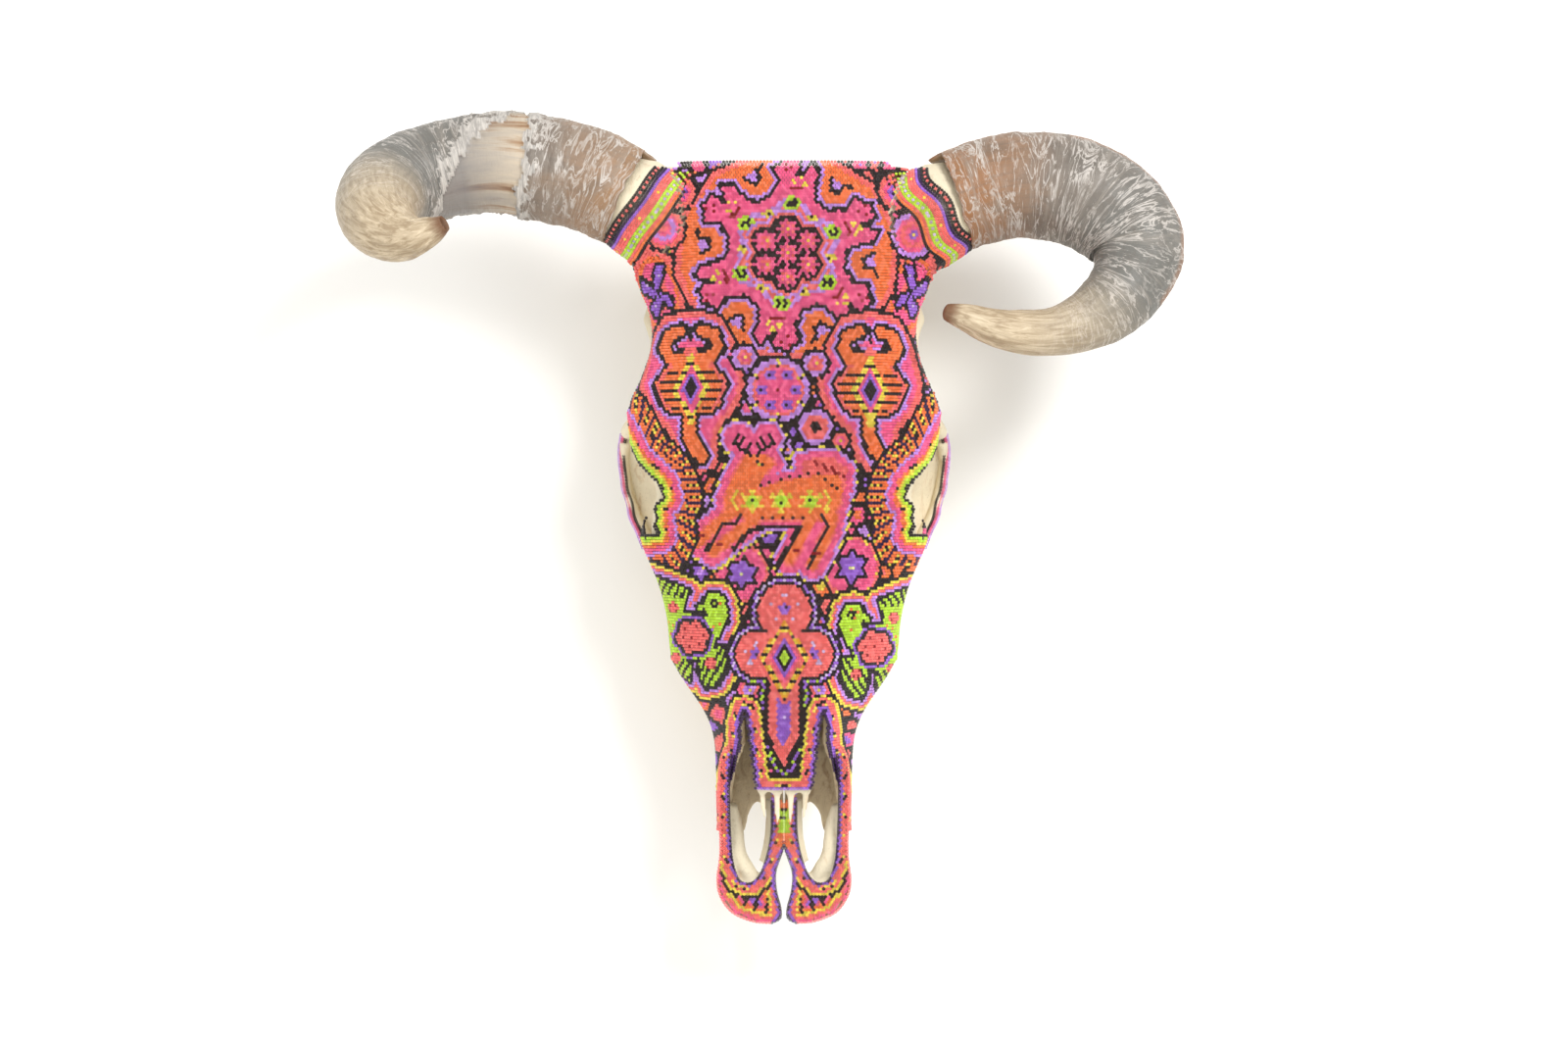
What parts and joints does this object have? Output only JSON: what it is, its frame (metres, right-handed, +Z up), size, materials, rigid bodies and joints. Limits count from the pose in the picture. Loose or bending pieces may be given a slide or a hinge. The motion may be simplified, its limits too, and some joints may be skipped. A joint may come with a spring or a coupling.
{
  "type": "beaded cattle skull",
  "caption": "Cattle skull with curled horns, its front covered in glass seed beads set in wax, hung nose down on a wall.",
  "frame": {"origin": "rim of the foramen magnum, the opening at the back of the skull by which it hangs", "axes": "+Z up with the nose pointing down, +Y towards the wall, -Y out of the forehead, +X to the right of someone who looks at the forehead"},
  "size_m": [0.547, 0.2299, 0.5358],
  "materials": {
    "bone": "dry cleaned bone, matte",
    "tooth": "worn enamel, half gloss",
    "horn": "weathered keratin, flaking, half gloss",
    "beads": "opaque glass seed beads pressed into wax, glossy"
  },
  "bodies": {
    "skull": {"occipital": "bone", "parietal": "bone", "sphenoid": "bone", "vomer": "bone", "frontal_right": "bone", "temporal_right": "bone", "nasal_right": "bone", "lacrimal_right": "bone", "zygomatic_right": "bone", "maxilla_right": "bone", "incisive_right": "bone", "palatine_right": "bone", "nasal_concha_right": "bone", "horn_collar_beads_right": "beads", "cheek_beads_right": "beads", "muzzle_beads_right": "beads", "premolar_2_right": "tooth", "premolar_3_right": "tooth", "premolar_4_right": "tooth", "molar_1_right": "tooth", "molar_2_right": "tooth", "molar_3_right": "tooth", "frontal_left": "bone", "temporal_left": "bone", "nasal_left": "bone", "lacrimal_left": "bone", "zygomatic_left": "bone", "maxilla_left": "bone", "incisive_left": "bone", "palatine_left": "bone", "nasal_concha_left": "bone", "horn_collar_beads_left": "beads", "cheek_beads_left": "beads", "muzzle_beads_left": "beads", "premolar_2_left": "tooth", "premolar_3_left": "tooth", "premolar_4_left": "tooth", "molar_1_left": "tooth", "molar_2_left": "tooth", "molar_3_left": "tooth", "forehead_beads": "beads", "nose_beads": "beads"},
    "left_horn": {"horn_sheath_left": "horn"},
    "right_horn": {"horn_sheath_right": "horn"}
  },
  "joints": [
    {"name": "left_sheath_pull", "type": "slide", "parent": "skull", "child": "left_horn", "axis": [-0.9735, 0, 0.2288], "range_m": [0, 0.1]},
    {"name": "right_sheath_pull", "type": "slide", "parent": "skull", "child": "right_horn", "axis": [0.9935, 0, 0.1142], "range_m": [0, 0.1]}
  ]
}
